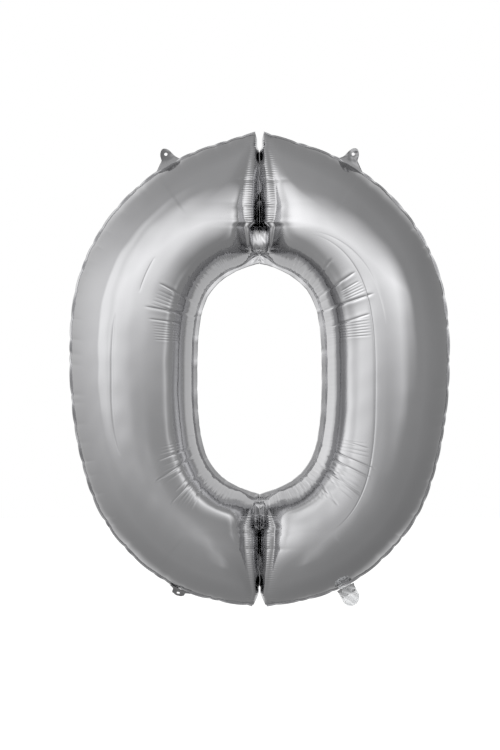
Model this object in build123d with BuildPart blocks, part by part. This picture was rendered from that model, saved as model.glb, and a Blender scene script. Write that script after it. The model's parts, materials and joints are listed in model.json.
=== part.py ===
from build123d import *
from math import cos, radians, sin
import os

os.makedirs("parts", exist_ok=True)

# Inflated foil number balloon, the figure 0. Millimetres, +Z up, front face towards -Y,
# origin at the middle of the overall box.
height = 860.0
width = 690.0
depth = 200.0
film = 0.8          # drawn film thickness, thicker than the real foil
seam_half = 0.7     # half the drawn thickness of the welded seam bands
outer_band = 6.5    # width of the outer seam band
inner_band = 10.0   # width of the inner seam band
outer_foot = 5.0    # film foot, in from the outer seam edge
inner_foot = 8.0    # film foot, out from the inner seam edge
slit_gap = 0.6      # seam edge to the middle plane inside the two slits
tab_thickness = 1.0
hole_radius = 3.0
tab_gap = 0.8       # live hinge line of a tab, out from the seam edge
tie_fold = 62.0     # how far the bottom tab lies folded back, degrees
valve_film = 0.35
tail_gap = 1.2
neck_reach = 11.0   # half length of a neck tube along X
top_neck_z = 235.0
bottom_neck_z = -260.0
neck_radius_y = 22.0
neck_radius_z = 23.0
neck_waist_y = 15.0
neck_waist_z = 20.0
crown_swell = 0.3   # how far the lofted crown stands above its ribs

half_w = width / 2
half_h = height / 2

# Right-hand outlines as (x, z), from the top slit round to the bottom slit.
outer_points = [
    (8, half_h),
    (64, 413),
    (142, 384),
    (227, 326),
    (293, 246),
    (331, 157),
    (half_w, 25),
    (340, -72),
    (322, -172),
    (286, -268),
    (243, -326),
    (160, -391),
    (100, -415),
    (14, -half_h),
]
inner_points = [
    (slit_gap, 192),
    (27, 181),
    (58, 166),
    (87, 138),
    (104, 95),
    (112, 20),
    (112, -50),
    (107, -110),
    (89, -166),
    (63, -195),
    (34, -212),
    (slit_gap, -223),
]
steps = [0.012 + 0.976 * i / 24 for i in range(25)]

with BuildLine() as outer_path:
    Spline(*outer_points)
with BuildLine() as inner_path:
    Spline(*inner_points)
outer_edge = outer_path.line.edge()
inner_edge = inner_path.line.edge()


def inward(edge, t, reach):
    """A point on an outline, moved to the right of its direction of travel."""
    along = edge % t
    return edge @ t + Vector(along.Y, -along.X) * reach


def lobe_depth(reach):
    """Half depth of the inflated tube, a distance away from the slit."""
    full = depth / 2 - seam_half - crown_swell
    if reach >= 75:
        return full
    return max(2.4, full * (1 - (1 - reach / 75) ** 2.2) ** 0.62)


# One inflated film: crescent ribs from the hole to the rim, lofted from slit to slit.
rib_places = [0, 0.006, 0.018, 0.036, 0.07, 0.1, 0.14, 0.18, 0.24, 0.32, 0.41, 0.5]
rib_places += [1 - t for t in reversed(rib_places[:-1])]
with BuildPart() as front_film_right:
    for t in rib_places:
        start = inward(inner_edge, t, -inner_foot)
        end = inward(outer_edge, t, outer_foot)
        if t in (0, 1):
            start = Vector(slit_gap + 1, start.Y)
            end = Vector(end.X - 1, end.Y)
        middle = (start + end) / 2
        along = (end - start).normalized()
        half_span = (end - start).length / 2
        rise = lobe_depth(middle.X - slit_gap)
        rib = Plane(
            origin=(middle.X, -seam_half, middle.Y),
            x_dir=(along.X, 0, along.Y),
            z_dir=(along.Y, 0, -along.X),
        )
        with BuildSketch(rib):
            with BuildLine():
                EllipticalCenterArc((0, 0), half_span, rise, arc_size=180)
                Line((-half_span, 0), (-half_span + film, 0))
                EllipticalCenterArc((0, 0), half_span - film, rise - film, arc_size=180)
                Line((half_span - film, 0), (half_span, 0))
            make_face()
    loft()
    for z in (top_neck_z, bottom_neck_z):
        with BuildSketch(Plane.YZ):
            with Locations((0, z)):
                Ellipse(neck_radius_y + 0.3, neck_radius_z + 0.3)
        extrude(amount=40, both=True, mode=Mode.SUBTRACT)

with BuildPart() as back_film_right:
    add(mirror(front_film_right.part, about=Plane.XZ, mode=Mode.PRIVATE))
with BuildPart() as front_film_left:
    add(mirror(front_film_right.part, about=Plane.YZ, mode=Mode.PRIVATE))
with BuildPart() as back_film_left:
    add(mirror(back_film_right.part, about=Plane.YZ, mode=Mode.PRIVATE))

# Outer seam: round the rim and down both edges of the slits.
valve_at = 0.879    # place of the filling tail along the rim
with BuildPart() as seam_blank:
    with BuildSketch(Plane.XZ):
        with BuildLine():
            rim = Spline(*outer_points)
            foot = Spline(*[inward(outer_edge, t, outer_band) for t in steps])
            Polyline(rim @ 0, (slit_gap + 0.6, 396), (slit_gap, 280), (4, 280), foot @ 0)
            Polyline(rim @ 1, (slit_gap + 0.6, -396), (slit_gap, -286), (4, -286), foot @ 1)
        make_face()
    extrude(amount=seam_half, both=True)

with BuildPart() as inner_seam_right:
    with BuildSketch(Plane.XZ):
        with BuildLine():
            hole_edge = Spline(*inner_points)
            hole_foot = Spline(*[inward(inner_edge, t, -inner_band) for t in steps])
            Polyline(hole_edge @ 0, (slit_gap, 203), hole_foot @ 0)
            Polyline(hole_edge @ 1, (slit_gap, -234), hole_foot @ 1)
        make_face()
    extrude(amount=seam_half, both=True)


def rim_plane(t, gap, fold=0):
    """Frame on the rim: x along the seam, y outward and folded back, z to the front."""
    along = outer_edge % t
    spot = inward(outer_edge, t, -gap)
    lean = sin(radians(fold))
    return Plane(
        origin=(spot.X, 0, spot.Y),
        x_dir=(along.X, 0, along.Y),
        z_dir=(-along.Y * lean, -cos(radians(fold)), along.X * lean),
    )


with BuildPart() as outer_seam_left:
    add(mirror(seam_blank.part, about=Plane.YZ, mode=Mode.PRIVATE))
with BuildPart() as outer_seam_right:
    add(seam_blank.part)
    with Locations(rim_plane(valve_at, 0)):
        Box(28, 40, 0.8, mode=Mode.SUBTRACT)
with BuildPart() as inner_seam_left:
    add(mirror(inner_seam_right.part, about=Plane.YZ, mode=Mode.PRIVATE))


def neck(z):
    """Short waisted tube of film that joins the two halves at a pinch."""
    with BuildPart() as tube:
        for x, ry, rz in (
            (-neck_reach, neck_radius_y, neck_radius_z),
            (0, neck_waist_y, neck_waist_z),
            (neck_reach, neck_radius_y, neck_radius_z),
        ):
            with BuildSketch(Plane.YZ.offset(x)):
                with Locations((0, z)):
                    Ellipse(ry, rz)
                    Ellipse(ry - film, rz - film, mode=Mode.SUBTRACT)
        loft()
    return tube.part


with BuildPart() as top_neck:
    add(neck(top_neck_z))
with BuildPart() as bottom_neck:
    add(neck(bottom_neck_z))


def foil_tab(place, left, right, head_x, head_y, head_radius):
    """Flat foil tab with a flared root, a round head and a ribbon hole."""
    with BuildPart() as tab:
        with BuildSketch(place):
            with BuildLine():
                root = Line((left, 0), (right, 0))
                flank = Spline(root @ 1, (head_x + head_radius, head_y),
                               tangents=((-1, 0.15), (0, 1)))
                crown = ThreePointArc(flank @ 1, (head_x, head_y + head_radius),
                                      (head_x - head_radius, head_y))
                Spline(crown @ 1, root @ 0, tangents=((0, -1), (-1, -0.15)))
            make_face()
            with Locations((head_x, head_y)):
                Circle(hole_radius, mode=Mode.SUBTRACT)
        extrude(amount=tab_thickness / 2, both=True)
    return tab.part


hang_place = rim_plane(0.142, tab_gap)
tie_place = rim_plane(0.889, tab_gap, tie_fold)
with BuildPart() as hang_tab_right:
    add(foil_tab(hang_place, -27, 25, -9, 16.5, 11.5))
with BuildPart() as hang_tab_left:
    add(mirror(hang_tab_right.part, about=Plane.YZ, mode=Mode.PRIVATE))
with BuildPart() as tie_tab_right:
    add(foil_tab(tie_place, -20, 20, 0, 14, 11.5))
with BuildPart() as tie_tab:
    add(mirror(tie_tab_right.part, about=Plane.YZ, mode=Mode.PRIVATE))

# Filling tail: two foil plies outside two clear valve films, flat against each other.
tail_place = rim_plane(valve_at, 0)
with BuildPart() as tail_back_ply:
    with BuildSketch(tail_place.offset(-0.9)):
        with BuildLine():
            FilletPolyline((-17, tail_gap), (17, tail_gap), (14, 15), (-12, 13),
                           radius=2, close=True)
        make_face()
    extrude(amount=0.5)
with BuildPart() as tail_front_ply:
    add(mirror(tail_back_ply.part, about=Plane.XZ, mode=Mode.PRIVATE))
with BuildPart() as valve_front_film:
    with BuildSketch(tail_place):
        with BuildLine():
            side = Polyline((12, -85), (12, 1), (16, 8), (16, 17))
            end = ThreePointArc(side @ 1, (0, 33), (-16, 17))
            Polyline(end @ 1, (-16, 8), (-12, 1), (-12, -85), side @ 0)
        make_face()
    extrude(amount=valve_film)
with BuildPart() as valve_back_film:
    add(mirror(valve_front_film.part, about=Plane.XZ, mode=Mode.PRIVATE))

pieces = {
    "front_film_left": front_film_left,
    "back_film_left": back_film_left,
    "outer_seam_left": outer_seam_left,
    "inner_seam_left": inner_seam_left,
    "top_neck": top_neck,
    "bottom_neck": bottom_neck,
    "front_film_right": front_film_right,
    "back_film_right": back_film_right,
    "outer_seam_right": outer_seam_right,
    "inner_seam_right": inner_seam_right,
    "hang_tab_left": hang_tab_left,
    "hang_tab_right": hang_tab_right,
    "tie_tab": tie_tab,
    "tail_front_ply": tail_front_ply,
    "tail_back_ply": tail_back_ply,
    "valve_front_film": valve_front_film,
    "valve_back_film": valve_back_film,
}
for label, piece in pieces.items():
    piece.part.label = label
    export_step(piece.part, f"parts/{label}.step")
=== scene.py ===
"""Inflated foil number balloon, the figure 0, in mirror anthracite film."""

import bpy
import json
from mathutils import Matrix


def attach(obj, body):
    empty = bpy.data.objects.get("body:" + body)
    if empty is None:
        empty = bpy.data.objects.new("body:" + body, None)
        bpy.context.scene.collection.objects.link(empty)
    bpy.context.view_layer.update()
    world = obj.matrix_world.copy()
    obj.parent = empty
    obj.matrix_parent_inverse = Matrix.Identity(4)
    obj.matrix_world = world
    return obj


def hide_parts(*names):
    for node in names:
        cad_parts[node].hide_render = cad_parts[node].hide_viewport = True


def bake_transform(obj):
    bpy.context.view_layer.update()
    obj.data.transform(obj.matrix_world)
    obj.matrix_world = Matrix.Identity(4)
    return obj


bl_info = {
    "name": "Foil number balloon",
    "version": (1, 0, 0),
    "blender": (4, 5, 0),
    "location": "View3D > Sidebar > Balloon",
    "description": "Builds an inflated foil figure 0 with welded seams, pinched necks and tabs",
    "category": "Add Mesh",
}

import json
from math import cos, pi, radians, sin

import bmesh
import bpy
import numpy as np
from mathutils import Matrix, Vector

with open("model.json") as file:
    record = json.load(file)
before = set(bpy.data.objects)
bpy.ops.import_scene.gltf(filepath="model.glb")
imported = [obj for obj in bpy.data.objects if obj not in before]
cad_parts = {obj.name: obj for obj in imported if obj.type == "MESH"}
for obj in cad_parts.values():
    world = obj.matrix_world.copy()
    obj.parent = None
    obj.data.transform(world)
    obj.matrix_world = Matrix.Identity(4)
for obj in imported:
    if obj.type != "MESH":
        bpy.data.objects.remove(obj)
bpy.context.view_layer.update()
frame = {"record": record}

MM = 0.001
NATURAL = 2.71828  # base of the bells in materials
FILM_STEPS = (640, 152)  # grid of a film half along the tube and across it
SEAM_WALL = 0.0008  # two films welded on each other
TAB_WALL = 0.0005
PLY_WALL = 0.0004
VALVE_WALL = 0.00025
NECK_HALF_WIDTH = 0.0150
LEVEL_GATHERS = 78  # scale of the gathers on the cheeks
CLOUDS, WEAR, CRINKLES = 7, 16, 42  # scales of the film's shade, dullness and crinkle
SHADE = 0.04  # how much the film's shade varies
LINE_STEPS = 6001  # points on a smooth outline
CROWN_STEPS = 8001  # places tried along the crown
HOLE_BLUNTNESS, RIM_BLUNTNESS = 1.01, 1.15  # 1 is a half round foot, more is a sharper one
HOLE_MIDDLE = -0.0175  # height of the hole's middle
HOLE_STRAIGHT = 0.1025  # from there to where its round ends start
SLIT_SHARE = 0.125  # how far a rim strip runs on into each slit, against its run round the rim
SLIT_ENDS = (0.252, -0.281)  # heights where the slits' seams end at the necks

# Pleats along the edges: first seed, gap between them, and how far they stray, as a share of it.
RIM_PUCKERS = (77, 0.034, 0.4)
HOLE_PUCKERS = (91, 0.024, 0.4)
HEM_PLEATS = (20, 0.0085, 0.45)
RIM_PLEATS = (33, 0.014, 0.45)

# The slit's half width, then how much a notch at the rim widens it, where it starts and how
# long it is. The top notch opens in two steps, and the bottom one like a V.
SLIT_HALF = 0.0009
TOP_NOTCH = ((0.0034, 0.394, 0.010), (0.0034, 0.413, 0.017))
BOTTOM_NOTCH = (0.0115, 0.403, 0.027)

# Right half of the welded outline as (x, z) in millimetres, from the top slit to the bottom one.
RIM = (
    (8, 430), (64, 413), (142, 384), (227, 326), (293, 246), (331, 157), (345, 25),
    (340, -72), (322, -172), (286, -268), (243, -326), (160, -391), (100, -415), (14, -430),
)
HOLE = (
    (0.6, 191), (19, 186), (39, 178), (63, 164), (90, 136), (106, 92), (112, 20),
    (112, -50), (107, -112), (90, -168), (65, -197), (36, -214), (0.6, -227),
)

# Sharp folds of the front film, as (x, z) of one end and of the other, in millimetres, then the
# depth of the fold. Seen from behind, the back film has the same ones.
FOLDS_LEFT = [
    (-177, 152, -122, 122, 1.5), (-203, 111, -120, 96, 1.7), (-196, 89, -135, 81, 1.0),
    (-126, 165, -104, 138, 0.9), (-150, 118, -124, 108, 0.5),
    (-180, -163, -128, -143, 1.2), (-186, -201, -118, -157, 1.6),
    (-157, -239, -108, -188, 1.5), (-122, -250, -98, -204, 1.2), (-150, -218, -128, -196, 0.7),
]
FOLDS_RIGHT = [
    (128, 196, 95, 150, 1.3), (169, 172, 107, 130, 1.7), (202, 134, 118, 106, 1.8),
    (196, 98, 138, 79, 1.2), (176, 156, 150, 141, 0.8),
    (131, -147, 195, -174, 1.4), (122, -157, 189, -190, 1.5), (108, -171, 173, -219, 1.7),
    (106, -203, 135, -237, 1.1), (153, -129, 189, -140, 0.5),
]

# Fans of fine parallel folds: ends of the first and of the last one, how many, and the depth.
FANS_LEFT = (
    ((-176, 146, -150, 133), (-192, 116, -160, 106), 6, 0.35),
    ((-190, 82, -132, 74), (-186, 52, -130, 49), 7, 0.38),
    ((-104, 156, -90, 136), (-74, 181, -62, 160), 7, 0.45),
    ((-178, -140, -128, -128), (-184, -160, -128, -142), 4, 0.35),
    ((-180, -176, -140, -160), (-170, -204, -140, -184), 4, 0.40),
    ((-150, -236, -122, -206), (-128, -250, -104, -212), 5, 0.45),
    ((-100, -226, -90, -208), (-58, -240, -54, -222), 7, 0.40),
)
FANS_RIGHT = (
    ((60, 186, 52, 166), (106, 160, 90, 138), 8, 0.45),
    ((182, 154, 152, 138), (190, 140, 158, 126), 4, 0.45),
    ((196, 92, 136, 82), (198, 60, 134, 55), 7, 0.38),
    ((122, -124, 182, -132), (126, -140, 190, -156), 4, 0.35),
    ((122, -166, 178, -198), (112, -186, 160, -226), 5, 0.45),
    ((64, -212, 70, -236), (98, -200, 118, -228), 6, 0.40),
)

# Fine creases that run with the tube on the front film: the side (-1 left), then half width,
# half height and middle height of the rounded oblong that each one lies on, then its lowest and
# highest point, all in metres, and its strength.
LONG_CREASES = (
    (1, 0.206, 0.282, -0.032, -0.300, 0.240, 0.9),
    (1, 0.230, 0.285, -0.032, 0.080, 0.245, 0.5),
    (-1, 0.265, 0.250, -0.014, -0.155, 0.100, 1.0),
    (-1, 0.228, 0.300, -0.032, 0.135, 0.200, 0.8),
)

# The two necks: height of the middle, half height, half depth and bare half length, in metres,
# then how steeply the film falls off to both sides.
NECKS = {
    "top_neck": (0.2345, 0.0255, 0.033, 0.0110, 0.0),
    "bottom_neck": (-0.2610, 0.0265, 0.026, 0.0060, 0.55),
}

# Half width of the gathered cheeks beside the slits, as (height, half width) in millimetres.
CHEEKS = (
    (-430, 9), (-400, 13), (-370, 18), (-320, 25), (-290, 26), (-270, 18), (-246, 9), (-232, 6),
    (200, 6), (207, 8), (225, 13), (252, 18), (270, 26), (297, 29), (340, 24), (378, 18), (400, 13),
    (430, 9),
)

# Heights where a crease runs across the cheeks of the pinches, in metres.
CROSS_CREASES = (0.338, 0.290, -0.294, -0.322)


class Outline:
    """A smooth line through hand-set points, read by the share of its length, in metres."""

    def __init__(self, points):
        p = np.array(points, float) * MM
        t = np.r_[0, np.cumsum(np.hypot(*np.diff(p, axis=0).T))]
        h = np.diff(t)
        n = len(p)
        system, right = np.eye(n), np.zeros((n, 2))
        for i in range(1, n - 1):
            system[i, i - 1:i + 2] = h[i - 1], 2 * (h[i - 1] + h[i]), h[i]
            right[i] = 6 * ((p[i + 1] - p[i]) / h[i] - (p[i] - p[i - 1]) / h[i - 1])
        bend = np.linalg.solve(system, right)
        s = np.linspace(0, t[-1], LINE_STEPS)
        k = np.clip(np.searchsorted(t, s) - 1, 0, n - 2)
        a, b, w = (s - t[k])[:, None], (t[k + 1] - s)[:, None], h[k][:, None]
        self.line = (
            (bend[k] * b ** 3 + bend[k + 1] * a ** 3) / (6 * w)
            + (p[k] / w - bend[k] * w / 6) * b
            + (p[k + 1] / w - bend[k + 1] * w / 6) * a
        )
        walked = np.r_[0, np.cumsum(np.hypot(*np.diff(self.line, axis=0).T))]
        self.length = walked[-1]
        self.share = walked / walked[-1]
        way = np.gradient(self.line, axis=0)
        self.way = way / np.hypot(*way.T)[:, None]

    def at(self, share):
        return (np.interp(share, self.share, self.line[:, 0]),
                np.interp(share, self.share, self.line[:, 1]))

    def inward(self, share):
        """Unit direction to the right of travel: into the tube on the rim."""
        x = np.interp(share, self.share, self.way[:, 0])
        z = np.interp(share, self.share, self.way[:, 1])
        return z, -x


rim, hole = Outline(RIM), Outline(HOLE)


def ease(t):
    t = np.clip(t, 0, 1)
    return t * t * (3 - 2 * t)


def hole_share(u):
    """The place on the hole's edge that faces place u on the rim."""
    return u - 0.065 * np.sin(2 * pi * u) + 0.0126 * np.sin(4 * pi * u)


def gusset(w):
    """How much wider the hole's seam is beside the necks, at place w on the hole's edge."""
    off = np.minimum(w, 1 - w)
    wide = np.where(w < 0.5, 0.009, 0.0035) * np.exp(-((off / 0.03) ** 2))
    return wide - 0.0022 * np.exp(-(((off - 0.065) / 0.03) ** 2))


def slit_gap(z):
    """Half the width of the slit: closed in the pinch, open at the notch."""
    top = sum(wide * ease((z - start) / run) for wide, start, run in TOP_NOTCH)
    wide, start, run = BOTTOM_NOTCH
    low = wide * np.clip((-z - start) / run, 0, 1) ** 1.3
    return SLIT_HALF + top + low


def neck_depth(reach, z):
    """Half depth of the film just under the two necks, and how far they part the cheeks."""
    floor = np.zeros_like(z)
    apart = np.zeros_like(z)
    for middle, half, depth, bare, fall in NECKS.values():
        deep = depth - 0.0008 - fall * np.minimum(reach, 0.015)
        floor += deep * np.clip(1 - np.abs((z - middle) / half) ** 3, 0, 1) ** 0.5
        apart += bare * ease((half + 0.004 - np.abs(z - middle)) / 0.010)
    # between a neck and its notch the cheeks press on each other, so no deep valley is left
    pressed = 0.016 + 0.030 * ease((np.abs(z) - 0.275) / 0.035)
    pressed *= ease((0.394 - np.abs(z)) / 0.03) * ease((np.abs(z) - 0.262) / 0.012)
    pressed *= np.exp(-(reach / 0.007) ** 2)
    return np.maximum(floor, 0) * np.exp(-(reach / 0.022) ** 4) + pressed, apart


def feet(u, sizes):
    """Where the film meets the seams, on the hole side and the rim side, at place u."""
    w = hole_share(u)
    hx, hz = hole.at(w)
    nx, nz = hole.inward(w)
    flange = sizes.inner_flange + gusset(w)
    hx, hz = hx - nx * flange, hz - nz * flange
    rx, rz = rim.at(u)
    nx, nz = rim.inward(u)
    rx, rz = rx + nx * sizes.outer_flange, rz + nz * sizes.outer_flange
    close = np.exp(-np.minimum(u, 1 - u) / 0.004)
    return hx * (1 - close) + 0.0012 * close, hz, rx * (1 - 0.25 * close), rz


def pinch(reach, z, sizes):
    """Half depth of the tube at a distance from the slit: a gathered cheek, then the full tube."""
    cheek = np.interp(z, *np.array(CHEEKS).T * MM)
    wall = 1 - np.exp(-reach / 0.0036)
    puff = 0.0048 * np.sin(pi * np.minimum(reach / cheek, 1))
    rise = 1 - np.exp(-np.maximum(reach - cheek, 0) / (0.62 * sizes.pinch_length))
    slope = np.clip(reach / sizes.pinch_length, 0, 1)
    by_wall, by_rise, by_slope = 0.62, 0.30, 0.08
    height = by_wall * wall + by_rise * rise + by_slope * slope * (2 - slope)
    return sizes.crown * height + puff


def section(v):
    """The tube's cross-section, 0 at the seams and 1 at the crown: blunt at the hole's side."""
    off = np.cos(pi * v)
    bluntness = np.where(off > 0, HOLE_BLUNTNESS, RIM_BLUNTNESS)
    foot = np.sqrt(bluntness ** 2 - 1)
    return (np.sqrt(bluntness ** 2 - off ** 2) - foot) / (bluntness - foot)


def tube(u, v, sizes):
    """A point of the right front film before its folds: u along the tube, v hole to rim."""
    hx, hz, rx, rz = feet(u, sizes)
    ends = feet(np.array([0.0, 1.0]), sizes)
    across = (1 - np.cos(pi * v)) / 2
    x, z = hx + (rx - hx) * across, hz + (rz - hz) * across
    # close the slit: the film's end line comes in to the gap, and the film near it follows
    end = np.where(u < 0.5, 0, 1)
    line = ends[0][end] + (ends[2][end] - ends[0][end]) * across
    near = np.exp(-np.maximum(x - line, 0) / 0.022)
    x = x - (line - slit_gap(z)) * near
    reach = np.maximum(x - slit_gap(z), 0)
    middle = np.maximum((hx + rx) / 2 - (ends[0] + ends[2])[end] / 2, 0)
    floor, apart = neck_depth(reach, z)
    crease = sum(np.exp(-np.abs(z - c) / 0.0030) for c in CROSS_CREASES)
    far = np.where(middle < 0.12, np.minimum(reach, middle + 0.01), reach)
    cheek = pinch(np.maximum(far - apart * np.exp(-(reach / 0.04) ** 2), 0), z, sizes)
    cheek *= 1 - 0.07 * crease * np.exp(-(reach / 0.026) ** 2)
    y = np.hypot(cheek * section(v), floor)
    return np.stack((x, -0.0007 - y, z), -1)


def crown_walk(sizes):
    """Places u for steps along the crown, closer together where the folds and slits are."""
    p = np.linspace(0, 1, CROWN_STEPS)
    u = 0.5 * (2 * np.minimum(p, 1 - p)) ** 1.8
    u = np.where(p < 0.5, u, 1 - u)
    line = tube(u, np.full_like(u, 0.5), sizes)
    step = np.linalg.norm(np.diff(line, axis=0), axis=1)
    z = line[1:, 2]
    folded = ease((z - 0.03) / 0.02) * ease((0.22 - z) / 0.02) \
        + ease((-0.12 - z) / 0.02) * ease((z + 0.27) / 0.02)
    walked = np.r_[0, np.cumsum(step * (1 + 1.3 * folded))]
    return walked / walked[-1], u


def fan(first, last, count, depth):
    """The fine folds between the first and the last one of a fan."""
    for k in np.linspace(0, 1, count):
        yield (*(a + (b - a) * k for a, b in zip(first, last)), depth * (0.75 + 0.5 * sin(k * 17) ** 2))


def fold_field(x, z, folds):
    """Depth of the sharp folds at points x, z: a crease with soft shoulders."""
    out = np.zeros_like(x)
    for x0, z0, x1, z1, depth in folds:
        a, b = np.array((x0, z0)) * MM, np.array((x1, z1)) * MM
        way = b - a
        length = np.hypot(*way)
        way = way / length
        along = ((x - a[0]) * way[0] + (z - a[1]) * way[1]) / length
        off = (x - a[0]) * way[1] - (z - a[1]) * way[0]
        near = (np.abs(off) < 0.03) & (along > -0.1) & (along < 1.3)
        window = ease((along + 0.05) / 0.15) * ease((1.2 - along) / 0.2)
        width = (1.0 + 0.8 * depth) * MM
        out -= np.where(near, depth * MM * window * (np.exp(-np.abs(off) / width)
                        - 0.40 * np.exp(-(off / (3.0 * width)) ** 2)), 0)
    return out


def pleats(length, seed, gap, stray):
    """Irregular places of pleats along a seam of a given length, and their depths."""
    rng = np.random.default_rng(seed)
    count = int(length / gap)
    places = (np.arange(count) + 0.5 + rng.uniform(-stray, stray, count)) * length / count
    return places, rng.uniform(0.45, 1, count)


def puckers(edge, kind, which):
    """The pleats of one kind along an edge. A seam and the films beside it share the rim's."""
    seed, gap, stray = kind
    return pleats(edge.length, seed + which, gap, stray)


def pleat_field(at, places, depths, width):
    """Sharp valleys at each place, rounded between them."""
    out = np.zeros_like(at)
    for p, k in zip(places, depths):
        out -= k * np.exp(-np.abs(at - p) / width)
    return out


def crumple(point, seed, scale):
    """Slow wander of the film's surface, from a few crossed waves."""
    rng = np.random.default_rng(seed)
    out = np.zeros(point.shape[:-1])
    waves = 9
    for _ in range(waves):
        way = rng.normal(size=3)
        way /= np.linalg.norm(way)
        wave = scale * rng.uniform(0.55, 1.6)
        out += np.sin(point @ way * 2 * pi / wave + rng.uniform(0, 2 * pi)) / waves ** 0.5
    return out


def skin(t, v, sizes, side, front, walk):
    """A film half with all its folds, for the given side (-1 left) and face."""
    places, u_of = walk
    u = np.interp(t, places, u_of)
    p = tube(u, v, sizes)
    e = 1e-4
    du = tube(np.clip(u + e, 0, 1), v, sizes) - tube(np.clip(u - e, 0, 1), v, sizes)
    dv = tube(u, np.clip(v + e, 0, 1), sizes) - tube(u, np.clip(v - e, 0, 1), sizes)
    normal = np.cross(du, dv)
    size = np.linalg.norm(normal, axis=-1, keepdims=True)
    normal = normal / np.maximum(size, 1e-15)
    normal *= np.where(normal[..., 1:2] > 0, -1, 1)
    seed = 40 + 2 * (side > 0) + front
    free = np.sin(pi * v) * ease(np.minimum(t, 1 - t) / 0.05)
    lift = sizes.wander * free * crumple(p * (side, 1, 1), seed, 0.21)
    lift += 0.22 * sizes.wander * free * crumple(p * (side, 1, 1), seed + 9, 0.06)
    left = side < 0 if front else side > 0
    folds = list(FOLDS_LEFT if left else FOLDS_RIGHT)
    for one in FANS_LEFT if left else FANS_RIGHT:
        folds.extend(fan(*one))
    fx = p[..., 0] * (-1 if left else 1)
    lift += sizes.fold * fold_field(fx, p[..., 2], folds)
    # pleats off the hole's seam, strongest where the tube turns
    w = hole_share(u)
    turn = 0.25 + np.exp(-((w - 0.16) / 0.11) ** 2) + np.exp(-((w - 0.86) / 0.11) ** 2)
    inner = puckers(hole, HEM_PLEATS, seed)
    fade = ease((0.33 - v) / 0.3) * ease(v / 0.03)
    lift += sizes.pleat * 1.1 * turn * fade * pleat_field(w * hole.length, *inner, 0.0020)
    # pleats off the rim's seam
    outer = puckers(rim, RIM_PUCKERS, side > 0)
    fade = ease((v - 0.74) / 0.26) * ease((1 - v) / 0.02 + 0.2)
    lift += sizes.pleat * 1.6 * fade * pleat_field(u * rim.length, *outer, 0.0045)
    fine = puckers(rim, RIM_PLEATS, seed)
    fade = ease((v - 0.84) / 0.16)
    lift += sizes.pleat * 0.5 * fade * pleat_field(u * rim.length, *fine, 0.0025)
    p = p + normal * lift[..., None]
    p[..., 1] = np.minimum(p[..., 1], -0.0005)
    p[..., 0] = np.maximum(p[..., 0], 0.0005)
    return p * (side, 1 if front else -1, 1)


def sheet_mesh(columns, rows, place):
    """A grid of film whose points are moved to place(s, t), both from 0 to 1."""
    bm = bmesh.new()
    bmesh.ops.create_grid(bm, x_segments=columns, y_segments=rows, size=1)
    co = np.array([v.co[:2] for v in bm.verts]) / 2 + 0.5
    spots = place(co[:, 0], co[:, 1])
    for vert, spot in zip(bm.verts, spots):
        vert.co = spot
    return bm


def open_piece(bm, name, material):
    """Makes a finished sheet an object with its material and slot."""
    mesh = bpy.data.meshes.new(name)
    bm.to_mesh(mesh)
    bm.free()
    mesh.shade_smooth()
    mesh.materials.append(material)
    obj = bpy.data.objects.new(name, mesh)
    bpy.context.scene.collection.objects.link(obj)
    return obj


def chain(tree):
    """Small helpers that add arithmetic nodes to a node tree."""

    def math(kind, *values):
        node = tree.nodes.new("ShaderNodeMath")
        node.operation = kind
        for socket, value in zip(node.inputs, values):
            if isinstance(value, (int, float)):
                socket.default_value = value
            else:
                tree.links.new(value, socket)
        return node.outputs[0]

    def hill(value, middle, low, high):
        """A bell round middle, of width low below it and high above it."""
        off = math("SUBTRACT", value, middle)
        up = math("DIVIDE", math("MAXIMUM", off, 0.0), high)
        down = math("DIVIDE", math("MAXIMUM", math("MULTIPLY", off, -1.0), 0.0), low)
        far = math("ADD", up, down)
        return math("POWER", NATURAL, math("MULTIPLY", math("MULTIPLY", far, far), -1.0))

    return math, hill


def long_crease(math, split, crease):
    """Height of one of the long creases, from the separated Object coordinates."""
    side, wide, tall, middle, low, high, strength = crease
    across = math("MAXIMUM", math("MULTIPLY", split.outputs["X"], side / wide), 0.0)
    up = math("ABSOLUTE", math("DIVIDE", math("SUBTRACT", split.outputs["Z"], middle), tall))
    oblong = math("ADD", math("POWER", across, 3.0), math("POWER", up, 3.0))
    off = math("ABSOLUTE", math("SUBTRACT", oblong, 1.0))
    line = math("POWER", NATURAL, math("MULTIPLY", off, -48.0))
    reach = math("SUBTRACT", split.outputs["Z"], (low + high) / 2)
    reach = math("ABSOLUTE", math("DIVIDE", reach, (high - low) / 2))
    window = math("MAXIMUM", math("SUBTRACT", 1.0, math("POWER", reach, 4.0)), 0.0)
    front = math("MULTIPLY", math("LESS_THAN", split.outputs["Y"], 0.0), strength)
    return math("MULTIPLY", line, math("MULTIPLY", window, front))


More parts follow.
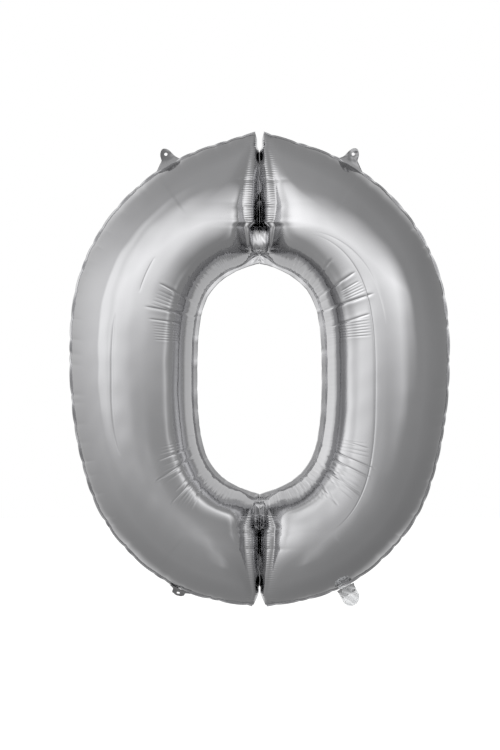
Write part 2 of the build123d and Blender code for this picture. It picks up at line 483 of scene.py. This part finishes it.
def hem_pleats(tree, math, hill, split):
    """Height of the fine pleats that stand off the hole's seam where the tube turns.

    The hole's ends are taken as half circles, round which the pleats are counted.
    """
    x = split.outputs["X"]
    height = math("ABSOLUTE", math("SUBTRACT", split.outputs["Z"], HOLE_MIDDLE))
    past = math("SUBTRACT", height, HOLE_STRAIGHT)
    turn = math("MULTIPLY", math("ARCTAN2", past, x), 32.0)
    out = math("SQRT", math("ADD", math("MULTIPLY", x, x), math("MULTIPLY", past, past)))
    spot = tree.nodes.new("ShaderNodeCombineXYZ")
    tree.links.new(turn, spot.inputs["X"])
    tree.links.new(math("MULTIPLY", out, 14.0), spot.inputs["Y"])
    tree.links.new(math("SIGN", split.outputs["Z"]), spot.inputs["Z"])
    pleat = tree.nodes.new("ShaderNodeTexNoise")
    pleat.inputs["Scale"].default_value = 1.0
    pleat.inputs["Detail"].default_value = 2.0
    tree.links.new(spot.outputs["Vector"], pleat.inputs["Vector"])
    band = math("MULTIPLY", hill(out, 0.124, 0.020, 0.013), math("GREATER_THAN", past, 0.0))
    sides = hill(math("ABSOLUTE", x), 0.066, 0.036, 0.040)
    window = math("MULTIPLY", band, sides)
    return math("MULTIPLY", math("MULTIPLY", pleat.outputs["Fac"], 1.5), window)


def gathers(tree, place):
    """Surface direction with the cheeks' level gathers, the long creases and the hem's pleats."""
    math, hill = chain(tree)
    split = tree.nodes.new("ShaderNodeSeparateXYZ")
    tree.links.new(place, split.inputs["Vector"])
    cheek = hill(math("ABSOLUTE", split.outputs["X"]), 0.016, 0.012, 0.011)
    high = math("GREATER_THAN", math("ABSOLUTE", split.outputs["Z"]), 0.262)
    waves = tree.nodes.new("ShaderNodeTexWave")
    waves.bands_direction = "Z"
    waves.inputs["Scale"].default_value = LEVEL_GATHERS
    waves.inputs["Distortion"].default_value = 3.2
    waves.inputs["Detail"].default_value = 1.0
    waves.inputs["Detail Scale"].default_value = 0.6
    tree.links.new(place, waves.inputs["Vector"])
    gather = tree.nodes.new("ShaderNodeBump")
    gather.inputs["Strength"].default_value = 0.5
    gather.inputs["Distance"].default_value = 0.001
    height = math("MULTIPLY", waves.outputs["Fac"], math("MULTIPLY", cheek, high))
    tree.links.new(height, gather.inputs["Height"])
    lines = hem_pleats(tree, math, hill, split)
    for crease in LONG_CREASES:
        lines = math("ADD", lines, long_crease(math, split, crease))
    run = tree.nodes.new("ShaderNodeBump")
    run.invert = True
    run.inputs["Strength"].default_value = 0.9
    run.inputs["Distance"].default_value = 0.0018
    tree.links.new(lines, run.inputs["Height"])
    tree.links.new(gather.outputs["Normal"], run.inputs["Normal"])
    return run.outputs["Normal"]


def foil(name, colours, roughness, crinkle, gathered=False):
    """Metallised film: a mirror dulled a little, with faint cloudy wear and fine crinkle."""
    material = bpy.data.materials.get(name)
    if material:
        return material
    material = bpy.data.materials.new(name)
    material.use_nodes = True
    tree = material.node_tree
    shader = tree.nodes["Principled BSDF"]
    shader.inputs["Metallic"].default_value = 1.0
    where = tree.nodes.new("ShaderNodeTexCoord")

    def noise(scale, detail=3.0):
        node = tree.nodes.new("ShaderNodeTexNoise")
        node.inputs["Scale"].default_value = scale
        node.inputs["Detail"].default_value = detail
        tree.links.new(where.outputs["Object"], node.inputs["Vector"])
        return node.outputs["Fac"]

    def spread(source, low, high):
        node = tree.nodes.new("ShaderNodeMapRange")
        node.inputs["From Min"].default_value = 0.3
        node.inputs["From Max"].default_value = 0.7
        node.inputs["To Min"].default_value = low
        node.inputs["To Max"].default_value = high
        tree.links.new(source, node.inputs["Value"])
        return node.outputs["Result"]

    ramp = tree.nodes.new("ShaderNodeValToRGB")
    ramp.color_ramp.elements[0].position = 0.3
    ramp.color_ramp.elements[1].position = 0.7
    ramp.color_ramp.elements[0].color = (*[c * (1 - SHADE) for c in colours], 1)
    ramp.color_ramp.elements[1].color = (*[c * (1 + SHADE) for c in colours], 1)
    tree.links.new(noise(CLOUDS), ramp.inputs["Fac"])
    tree.links.new(ramp.outputs["Color"], shader.inputs["Base Color"])
    tree.links.new(spread(noise(WEAR, 4), roughness * 0.88, roughness * 1.14),
                   shader.inputs["Roughness"])
    bump = tree.nodes.new("ShaderNodeBump")
    bump.inputs["Strength"].default_value = crinkle
    bump.inputs["Distance"].default_value = 0.001
    tree.links.new(noise(CRINKLES, 2), bump.inputs["Height"])
    if gathered:
        tree.links.new(gathers(tree, where.outputs["Object"]), bump.inputs["Normal"])
    tree.links.new(bump.outputs["Normal"], shader.inputs["Normal"])
    return material


def film_material():
    colours = bpy.context.scene.balloon_colours
    return foil("anthracite_foil", colours.film, 0.10, 0.05, gathered=True)


def seam_material():
    colours = bpy.context.scene.balloon_colours
    return foil("welded_foil", [c * 0.92 for c in colours.film], 0.18, 0.3)


def painted_shade_tab_material():
    colours = bpy.context.scene.balloon_colours
    # painted shade: the tabs and tail plies are the balloon's own film, painted 0.62 times darker for
    # the darker look of the crumpled bits
    return foil("crumpled_foil_painted_shade", [c * 0.62 for c in colours.film], 0.22, 0.5)


def clear_material():
    """Clear glossy valve film, seen mostly by its highlights."""
    material = bpy.data.materials.get("clear_film") or bpy.data.materials.new("clear_film")
    material.use_nodes = True
    tree = material.node_tree
    shader = tree.nodes["Principled BSDF"]
    shader.inputs["Base Color"].default_value = (*bpy.context.scene.balloon_colours.clear, 1)
    shader.inputs["Roughness"].default_value = 0.08
    shader.inputs["IOR"].default_value = 1.5
    shader.inputs["Alpha"].default_value = 0.4
    where = tree.nodes.new("ShaderNodeTexCoord")
    ripple = tree.nodes.new("ShaderNodeTexNoise")
    ripple.inputs["Scale"].default_value = 90
    bump = tree.nodes.new("ShaderNodeBump")
    bump.inputs["Strength"].default_value = 0.6
    bump.inputs["Distance"].default_value = 0.001
    tree.links.new(where.outputs["Object"], ripple.inputs["Vector"])
    tree.links.new(ripple.outputs["Fac"], bump.inputs["Height"])
    tree.links.new(bump.outputs["Normal"], shader.inputs["Normal"])
    return material


def rim_strip(s, t, side, sizes):
    """The rim's seam and the two slit seams as one strip: s along it, t from edge to foot."""
    share = s * (1 + 2 * SLIT_SHARE) - SLIT_SHARE
    u = np.clip(share, 0, 1)
    ex, ez = rim.at(u)
    nx, nz = rim.inward(u)
    places, depths = puckers(rim, RIM_PUCKERS, side > 0)
    pull = pleat_field(u * rim.length, places, depths, 0.007)
    phase = np.interp(u * rim.length, places, np.arange(len(places)) * pi)
    ex, ez = ex - nx * pull * 0.0022, ez - nz * pull * 0.0022
    reach = sizes.outer_flange + 0.0015
    corner = np.exp(-np.minimum(u, 1 - u) / 0.006) * reach
    fx, fz = rim.at(u)
    fx, fz = fx + nx * reach + corner, fz + nz * reach
    y = 0.0017 * np.sin(phase) * (1 - t) * (u > 0) * (u < 1)
    for end, mouth, low in zip((share < 0, share > 1), SLIT_ENDS, (False, True)):
        far = np.clip(share - 1 if low else -share, 0, SLIT_SHARE) / SLIT_SHARE
        tip = rim.at(1.0 if low else 0.0)
        z = tip[1] * (1 - far) + mouth * far
        closed = ease((0.398 - np.abs(z)) / 0.012)
        x = slit_gap(z) + (tip[0] - slit_gap(tip[1])) * (1 - closed)
        wave = (0.0014 * np.sin(far * 23) + 0.0006 * np.sin(far * 61)) * np.sin(far * pi)
        back = reach * np.exp(-np.abs(z - tip[1]) / 0.008)
        edge = x * (1 - 0.92 * closed) + wave * closed * side * 0.5
        ex, ez = np.where(end, edge, ex), np.where(end, z, ez)
        fx = np.where(end, x + reach * (1 - 0.7 * closed), fx)
        fz = np.where(end, z + (back if low else -back), fz)
        y = np.where(end, -closed * (0.0035 + 0.046 * np.sin(far * pi) ** 0.7) * (1 - t), y)
    return np.stack(((ex + (fx - ex) * t) * side, y, ez + (fz - ez) * t), -1)


def hole_strip(s, t, side, sizes):
    """The hole's seam: s along it, t from the edge to the foot under the film."""
    ex, ez = hole.at(s)
    nx, nz = hole.inward(s)
    places, depths = puckers(hole, HOLE_PUCKERS, side > 0)
    pull = pleat_field(s * hole.length, places, depths, 0.005)
    phase = np.interp(s * hole.length, places, np.arange(len(places)) * pi)
    ex, ez = ex + nx * pull * 0.0007, ez + nz * pull * 0.0007
    reach = sizes.inner_flange + gusset(s) + 0.0015
    fx, fz = ex - nx * reach, ez - nz * reach
    x, z = ex + (fx - ex) * t, ez + (fz - ez) * t
    by_neck = np.exp(-((np.minimum(s, 1 - s) / 0.03) ** 2))
    y = 0.0009 * np.sin(phase) * (1 - 0.7 * t)
    y -= 0.0008 * by_neck * (np.sin(t * 9 + s * 150) + np.sin(s * 310 + t * 5)) * np.sin(pi * t) ** 2
    close = np.exp(-np.minimum(s, 1 - s) / 0.012)
    return np.stack((np.maximum(x * (1 - close) + 0.0003 * close, 0.0003) * side, y, z), -1)


def bend_at_necks(obj):
    """Bakes the object's placement into its mesh, leaving the object at the origin."""
    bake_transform(obj)


def strip_piece(name, columns, rows, place, thickness, material, node, body=None):
    """A seam strip given its thickness about the middle plane; with no body its placement is baked into
    its mesh.
    """
    bm = sheet_mesh(columns, rows, place)
    bm.normal_update()
    if sum(f.normal.y for f in bm.faces) > 0:
        bmesh.ops.reverse_faces(bm, faces=bm.faces)
    obj = open_piece(bm, name, material)
    wall = obj.modifiers.new("wall", "SOLIDIFY")
    wall.thickness, wall.offset = thickness, 0
    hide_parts(node)
    if body:
        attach(obj, body)
    else:
        bend_at_necks(obj)


def neck_point(s, t, middle, half, depth, fall):
    """The short tube through a pinch: s along X, t round it."""
    x = (s * 2 - 1) * NECK_HALF_WIDTH
    a = t * 2 * pi
    out = np.abs(x) / NECK_HALF_WIDTH
    dip = 0.0035 * ease((out - 0.72) / 0.28)
    rise = np.sin(a)
    up = np.sign(rise) * (1 - (1 - np.abs(rise)) ** 1.4)
    flat = np.clip(1 - np.abs(up) ** 3, 0, 1) ** 0.5 * np.sign(np.cos(a) + 1e-9)
    near = np.abs(up) ** 4
    crinkle = 0.0011 * near * np.sin(a * 21 + 3 * np.sin(x * 310 + middle * 90))
    crinkle += 0.0005 * np.sin(a * 9 + x * 420 + middle * 50) * (1 - near)
    crinkle *= 1 - out ** 4
    deep = depth - fall * np.abs(x) + 0.0003 - 0.0010 * np.cos(out * pi) + crinkle - dip
    return np.stack((x, -deep * flat, middle + (half + crinkle - dip) * up), -1)


TAB = ((-31, -6.5), (-22.5, 3.2), (-20.2, 10), (-18.8, 16.5), (-15.8, 23.6), (-9, 28),
       (-1.8, 23.6), (2.0, 16.5), (4.4, 8.5), (12, 1.6), (28, -6.5))
TIE = ((-21, -3), (-13.2, 3), (-11.8, 8), (-11.5, 14), (-8.1, 22.1), (0, 25.5),
       (8.1, 22.1), (11.5, 14), (11.8, 8), (13.2, 3), (21, -3))


def tab_piece(name, points, middle, across, out, origin, curl, node, body, seed):
    """A foil tab with a ribbon hole, crumpled a little, from its flared root to its round head."""
    edge = Outline(points)
    loop = np.vstack((edge.line, np.linspace(edge.line[-1], edge.line[0], 400)[1:]))
    eye = np.array(middle) * MM
    angle = np.unwrap(np.arctan2(loop[:, 1] - eye[1], loop[:, 0] - eye[0]))
    reach = np.hypot(loop[:, 0] - eye[0], loop[:, 1] - eye[1])
    order = np.argsort(angle)
    angle, reach = angle[order], reach[order]
    across, out, origin = (np.array(k, float) for k in (across, out, origin))
    face = np.cross(across, out)

    def place(s, t):
        turn = angle[0] + (angle[-1] - angle[0]) * s
        r = 0.003 + (np.interp(turn, angle, reach) - 0.003) * t
        a, b = eye[0] + r * np.cos(turn), eye[1] + r * np.sin(turn)
        p = origin + a[:, None] * across + b[:, None] * out
        h = curl * MM * (np.maximum(b, 0) / 0.028) ** 1.5
        h += 0.0008 * ease(b / 0.01) * crumple(p, seed, 0.014)
        h += 0.9 * curl * MM * ease(b / 0.02) * np.sin(a * 120)
        return p + h[:, None] * face

    bm = sheet_mesh(96, 16, place)
    bmesh.ops.remove_doubles(bm, verts=bm.verts, dist=1e-6)
    bmesh.ops.recalc_face_normals(bm, faces=bm.faces)
    obj = open_piece(bm, name, painted_shade_tab_material())
    wall = obj.modifiers.new("wall", "SOLIDIFY")
    wall.thickness, wall.offset = TAB_WALL, 0
    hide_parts(node)
    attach(obj, body)
    return obj


class BalloonSizes(bpy.types.PropertyGroup):
    """Sizes of the balloon that a user may change."""

    crown: bpy.props.FloatProperty(
        name="Crown", description="Half depth of the inflated tube",
        default=0.105, min=0.02, max=0.2, unit="LENGTH")
    pinch_length: bpy.props.FloatProperty(
        name="Pinch length", description="How far from a slit the tube reaches its full depth",
        default=0.052, min=0.02, max=0.2, unit="LENGTH")
    inner_flange: bpy.props.FloatProperty(
        name="Inner flange", description="Width of the welded seam round the hole",
        default=0.007, min=0.002, max=0.02, unit="LENGTH")
    outer_flange: bpy.props.FloatProperty(
        name="Outer flange", description="Width of the welded seam round the rim",
        default=0.003, min=0.002, max=0.02, unit="LENGTH")
    wander: bpy.props.FloatProperty(
        name="Wander", description="Height of the film's slow unevenness",
        default=0.0007, min=0, max=0.01, unit="LENGTH")
    fold: bpy.props.FloatProperty(
        name="Fold", description="Strength of the sharp folds at the tube's bends",
        default=1.0, min=0, max=3, subtype="FACTOR")
    pleat: bpy.props.FloatProperty(
        name="Pleat", description="Height of the small pleats along the seams",
        default=0.001, min=0, max=0.005, unit="LENGTH")


class BalloonColours(bpy.types.PropertyGroup):
    """Colours of the film."""

    film: bpy.props.FloatVectorProperty(
        name="Film", description="Colour of the metallised film",
        default=(0.50, 0.50, 0.51), size=3, min=0, max=1, subtype="COLOR")
    clear: bpy.props.FloatVectorProperty(
        name="Valve film", description="Colour of the clear valve film",
        default=(0.92, 0.93, 0.94), size=3, min=0, max=1, subtype="COLOR")


class BALLOON_OT_camera(bpy.types.Operator):
    """Places the camera straight in front of the balloon"""

    bl_idname = "balloon.camera"
    bl_label = "Camera"

    def execute(self, context):
        away, tall = 6.0, 1.358  # distance, and how much of the balloon's plane the frame shows
        data = bpy.data.cameras.new("front_camera")
        data.lens = data.sensor_width * away / tall
        data.shift_x, data.shift_y = -9.5 / 750, -6 / 750
        camera = bpy.data.objects.new("front_camera", data)
        camera.location = (0, -away, 0)
        camera.rotation_euler = (radians(90), 0, 0)
        context.scene.collection.objects.link(camera)
        context.scene.camera = camera
        return {"FINISHED"}


class BALLOON_OT_skins(bpy.types.Operator):
    """Makes the four inflated film halves"""

    bl_idname = "balloon.skins"
    bl_label = "Film skins"

    def execute(self, context):
        sizes = context.scene.balloon_sizes
        walk = crown_walk(sizes)
        columns, rows = FILM_STEPS
        for side, half in ((-1, "left"), (1, "right")):
            for front, face in ((True, "front"), (False, "back")):
                bm = sheet_mesh(columns, rows, lambda s, t: skin(s, t, sizes, side, front, walk))
                out = -1 if front else 1
                bm.normal_update()
                total = sum(f.normal.y for f in list(bm.faces)[::37])
                if total * out < 0:
                    bmesh.ops.reverse_faces(bm, faces=bm.faces)
                obj = open_piece(bm, f"{face}_skin_{half}", film_material())
                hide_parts(f"{face}_film_{half}")
                bend_at_necks(obj)
        return {"FINISHED"}


class BALLOON_OT_seams(bpy.types.Operator):
    """Makes the welded seams of the rim, the slits and the hole"""

    bl_idname = "balloon.seams"
    bl_label = "Welded seams"

    def execute(self, context):
        sizes = context.scene.balloon_sizes
        for side, half in ((-1, "left"), (1, "right")):
            strip_piece(f"rim_seam_{half}", 900, 5,
                        lambda s, t: rim_strip(s, t, side, sizes), SEAM_WALL, seam_material(),
                        f"outer_seam_{half}")
            strip_piece(f"hole_seam_{half}", 420, 6,
                        lambda s, t: hole_strip(s, t, side, sizes), SEAM_WALL, seam_material(),
                        f"inner_seam_{half}")
        return {"FINISHED"}


class BALLOON_OT_necks(bpy.types.Operator):
    """Makes the two short tubes that join the halves at the pinches"""

    bl_idname = "balloon.necks"
    bl_label = "Necks"

    def execute(self, context):
        for node, (z, half, depth, _, fall) in NECKS.items():
            bm = sheet_mesh(28, 220, lambda s, t: neck_point(s, t, z, half, depth, fall))
            bmesh.ops.remove_doubles(bm, verts=bm.verts, dist=1e-6)
            bmesh.ops.recalc_face_normals(bm, faces=bm.faces)
            bm.normal_update()
            if sum(f.normal.y * f.calc_center_median().y for f in bm.faces) < 0:
                bmesh.ops.reverse_faces(bm, faces=bm.faces)
            obj = open_piece(bm, node + "_tube", film_material())
            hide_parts(node)
            bend_at_necks(obj)
        return {"FINISHED"}


class BALLOON_OT_tabs(bpy.types.Operator):
    """Makes the hanging tabs and the folded tie tab"""

    bl_idname = "balloon.tabs"
    bl_label = "Tabs"

    def execute(self, context):
        joints = {j["name"]: j for j in frame["record"]["behaviour"]["joints"]}

        def root(joint, fold):
            along = Vector(joints[joint]["axis"]).normalized()
            out = Vector((-along.z, 0, along.x))
            back = Vector((0, 1, 0))
            out = out * cos(radians(fold)) + back * sin(radians(fold))
            return along, out, Vector(joints[joint]["pos_m"])

        along, out, spot = root("hang_tab_right_fold", 0)
        tab_piece("hang_tab_right_foil", TAB, (-9, 16.5), along, out, spot, 5.0,
                  "hang_tab_right", "right_hanger", 5)
        along, out, spot = root("hang_tab_left_fold", 0)
        mirrored = tuple((-a, b) for a, b in reversed(TAB))
        tab_piece("hang_tab_left_foil", mirrored, (9, 16.5), along, out, spot, -6.5,
                  "hang_tab_left", "left_hanger", 6)
        along, out, spot = root("tie_tab_fold", 62)
        tab_piece("tie_tab_foil", TIE, (0, 14), along, out, spot, 1.5, "tie_tab", "tie", 7)
        return {"FINISHED"}


class BALLOON_OT_tail(bpy.types.Operator):
    """Makes the filling tail with its clear valve films"""

    bl_idname = "balloon.tail"
    bl_label = "Filling tail"

    def execute(self, context):
        joint = next(j for j in frame["record"]["behaviour"]["joints"]
                     if j["name"] == "tail_fold")
        along = np.array(joint["axis"])
        out = np.array((-along[2], 0, along[0]))
        back = np.array((0, 1, 0))
        root = 0.0012  # how far behind the fold line the tail is measured from
        valve_start, valve_run, valve_round = -0.085, 0.123, 0.0171
        spot = np.array(joint["pos_m"]) - out * root
        for sign, face in ((-1, "front"), (1, "back")):
            def ply(s, t):
                b = root + t * (0.0138 + 0.002 * s)
                a = (s * 2 - 1) * (0.017 - 0.0035 * t)
                y = sign * (0.0006 + 0.0016 * t ** 1.5 + 0.0007 * t * np.sin(s * 15))
                return spot + a[:, None] * along + b[:, None] * out + y[:, None] * back

            strip_piece(f"tail_{face}_foil", 40, 20, ply, PLY_WALL, painted_shade_tab_material(),
                        f"tail_{face}_ply", "filling_tail")

            def valve(s, t):
                b = valve_start + t * valve_run
                free = ease(b / 0.012)
                half = 0.012 + 0.004 * ease(b / 0.008)
                tip = np.clip(b - 0.021, 0, 1) / valve_round
                half = half * np.sqrt(np.clip(1 - tip ** 2, 0, 1))
                c = s * 2 - 1
                a = c * half
                bulge = free * (0.006 * np.clip(1 - c ** 2, 0, 1)
                                + 0.0022 * np.sin(c * 7 + b * 260 + sign))
                y = sign * (0.0002 + bulge) + 0.006 * ease((b - 0.004) / 0.03)
                return spot + a[:, None] * along + b[:, None] * out + y[:, None] * back

            strip_piece(f"valve_{face}_clear", 36, 110, valve, VALVE_WALL, clear_material(),
                        f"valve_{face}_film", "filling_tail")
        return {"FINISHED"}


# Soft boxes on walls of light in front of the balloon: centre x and z, half width and height,
# softness of the edge, and strength.
FAR_BOXES = (
    (0.15, -1.05, 0.10, 0.95, 0.32, 0.22),
    (-0.88, 0.61, 0.64, 0.70, 0.38, 0.29),
)
NEAR_BOXES = (
    (-1.10, 0.35, 0.61, 0.49, 0.30, 0.45),
    (0.20, 0.22, 0.50, 0.01, 0.34, 1.77),
    (0.40, 0.06, 0.08, 0.20, 0.12, 0.34),
    (-0.16, 0.15, 0.10, 0.10, 0.12, 0.30),
)

# Light behind the balloon, as the walls of the hole see it.
BACK_BOXES = ((0.0, 0.0, 0.48, 0.58, 0.12, 0.42),)

# The walls of light: name, place along Y, and boxes.
LIGHT_WALLS = (
    ("far_light", -1.10, FAR_BOXES),
    ("near_light", -0.30, NEAR_BOXES),
    ("back_light", 0.30, BACK_BOXES),
)
WALL_REACH = 4

# The room's brightness, how much lighter its left is, and how much darker each other side is.
ROOM_GLOW, LEFT_GLOW = 0.60, 0.57
RIGHT_DIM, TOP_DIM, LOW_DIM, BACK_DIM = 0.16, 0.07, 0.18, 0.18

FLOOR_RADIUS, FLOOR_HEIGHT, FLOOR_GLOW = 14, -0.9, 0.62


def light_wall(name, boxes):
    """The soft boxes' light, added to what shines through the wall."""
    material = bpy.data.materials.new(name)
    material.use_nodes = True
    tree = material.node_tree
    tree.nodes.clear()
    math, _ = chain(tree)
    where = tree.nodes.new("ShaderNodeTexCoord")
    split = tree.nodes.new("ShaderNodeSeparateXYZ")
    tree.links.new(where.outputs["Object"], split.inputs["Vector"])

    def inside(value, middle, half, soft):
        off = math("ABSOLUTE", math("SUBTRACT", value, middle))
        node = tree.nodes.new("ShaderNodeMapRange")
        node.interpolation_type = "SMOOTHSTEP"
        node.inputs["From Min"].default_value = half - soft
        node.inputs["From Max"].default_value = half + soft
        node.inputs["To Min"].default_value = 1
        node.inputs["To Max"].default_value = 0
        tree.links.new(off, node.inputs["Value"])
        return node.outputs["Result"]

    glow = 0.0
    for x, z, wide, tall, soft, strength in boxes:
        box = math("MULTIPLY", inside(split.outputs["X"], x, wide, soft),
                   inside(split.outputs["Z"], z, tall, soft))
        glow = math("ADD", glow, math("MULTIPLY", box, strength))
    light = tree.nodes.new("ShaderNodeEmission")
    tree.links.new(glow, light.inputs["Strength"])
    clear = tree.nodes.new("ShaderNodeBsdfTransparent")
    both = tree.nodes.new("ShaderNodeAddShader")
    tree.links.new(light.outputs[0], both.inputs[0])
    tree.links.new(clear.outputs[0], both.inputs[1])
    out = tree.nodes.new("ShaderNodeOutputMaterial")
    tree.links.new(both.outputs[0], out.inputs["Surface"])
    return material


def room_light(tree):
    """A plain white backdrop, and grey walls that are lighter to the left."""
    tree.nodes.clear()
    math, hill = chain(tree)
    where = tree.nodes.new("ShaderNodeTexCoord")
    split = tree.nodes.new("ShaderNodeSeparateXYZ")
    tree.links.new(where.outputs["Generated"], split.inputs["Vector"])
    x, y, z = split.outputs["X"], split.outputs["Y"], split.outputs["Z"]
    left = math("MULTIPLY", math("MAXIMUM", math("MULTIPLY", x, -1.0), 0.0), LEFT_GLOW)
    glow = math("ADD", ROOM_GLOW, math("MULTIPLY", left, hill(z, 0.25, 0.4, 0.4)))
    glow = math("SUBTRACT", glow, math("MULTIPLY", math("MAXIMUM", x, 0.0), RIGHT_DIM))
    glow = math("SUBTRACT", glow, math("MULTIPLY", math("MAXIMUM", z, 0.0), TOP_DIM))
    glow = math("ADD", glow, math("MULTIPLY", math("MINIMUM", z, 0.0), LOW_DIM))
    glow = math("SUBTRACT", glow, math("MULTIPLY", math("MAXIMUM", y, 0.0), BACK_DIM))
    room = tree.nodes.new("ShaderNodeBackground")
    tree.links.new(glow, room.inputs["Strength"])
    plain = tree.nodes.new("ShaderNodeBackground")
    seen = tree.nodes.new("ShaderNodeLightPath")
    mix = tree.nodes.new("ShaderNodeMixShader")
    out = tree.nodes.new("ShaderNodeOutputWorld")
    plain.inputs["Color"].default_value = room.inputs["Color"].default_value = (1, 1, 1, 1)
    tree.links.new(seen.outputs["Is Camera Ray"], mix.inputs["Fac"])
    tree.links.new(room.outputs["Background"], mix.inputs[1])
    tree.links.new(plain.outputs["Background"], mix.inputs[2])
    tree.links.new(mix.outputs["Shader"], out.inputs["Surface"])


class BALLOON_OT_stage(bpy.types.Operator):
    """Makes the pale floor, the soft studio light and the surroundings"""

    bl_idname = "balloon.stage"
    bl_label = "Stage"

    def execute(self, context):
        bm = bmesh.new()
        bmesh.ops.create_circle(bm, cap_ends=True, segments=64, radius=FLOOR_RADIUS)
        bmesh.ops.translate(bm, verts=bm.verts, vec=(0, 0, FLOOR_HEIGHT))
        floor = bpy.data.materials.new("pale_floor")
        floor.use_nodes = True
        shader = floor.node_tree.nodes["Principled BSDF"]
        shader.inputs["Base Color"].default_value = (0.95, 0.95, 0.95, 1)
        shader.inputs["Roughness"].default_value = 0.9
        shader.inputs["Emission Color"].default_value = (1, 1, 1, 1)
        shader.inputs["Emission Strength"].default_value = FLOOR_GLOW
        mesh = bpy.data.meshes.new("floor")
        bm.to_mesh(mesh)
        bm.free()
        mesh.materials.append(floor)
        obj = bpy.data.objects.new("floor", mesh)
        context.scene.collection.objects.link(obj)
        obj.visible_glossy = False

        for name, y, boxes in LIGHT_WALLS:
            bm = bmesh.new()
            bmesh.ops.create_grid(bm, x_segments=1, y_segments=1, size=WALL_REACH)
            bmesh.ops.rotate(bm, verts=bm.verts, matrix=Matrix.Rotation(radians(90), 3, "X"))
            bmesh.ops.translate(bm, verts=bm.verts, vec=(0, y, 0))
            mesh = bpy.data.meshes.new(name)
            bm.to_mesh(mesh)
            bm.free()
            mesh.materials.append(light_wall(name, boxes))
            wall = bpy.data.objects.new(name, mesh)
            context.scene.collection.objects.link(wall)
            wall.visible_camera = wall.visible_shadow = wall.visible_diffuse = False

        world = bpy.data.worlds.new("studio")
        world.use_nodes = True
        context.scene.world = world
        room_light(world.node_tree)
        context.scene.view_settings.view_transform = "Standard"
        return {"FINISHED"}


class BALLOON_PT_panel(bpy.types.Panel):
    """Lists the balloon's steps"""

    bl_idname = "BALLOON_PT_panel"
    bl_label = "Foil number balloon"
    bl_space_type = "VIEW_3D"
    bl_region_type = "UI"
    bl_category = "Balloon"

    def draw(self, context):
        for name in STEPS:
            self.layout.operator(f"balloon.{name}")


STEPS = ("camera", "skins", "seams", "necks", "tabs", "tail", "stage")
CLASSES = (BalloonSizes, BalloonColours, BALLOON_OT_camera, BALLOON_OT_skins,
           BALLOON_OT_seams, BALLOON_OT_necks, BALLOON_OT_tabs, BALLOON_OT_tail,
           BALLOON_OT_stage, BALLOON_PT_panel)


def register():
    for cls in CLASSES:
        bpy.utils.register_class(cls)
    bpy.types.Scene.balloon_sizes = bpy.props.PointerProperty(type=BalloonSizes)
    bpy.types.Scene.balloon_colours = bpy.props.PointerProperty(type=BalloonColours)


def unregister():
    del bpy.types.Scene.balloon_colours
    del bpy.types.Scene.balloon_sizes
    for cls in reversed(CLASSES):
        bpy.utils.unregister_class(cls)


def main():
    register()
    for name in STEPS:
        getattr(bpy.ops.balloon, name)()


if __name__ == "__main__":
    main()
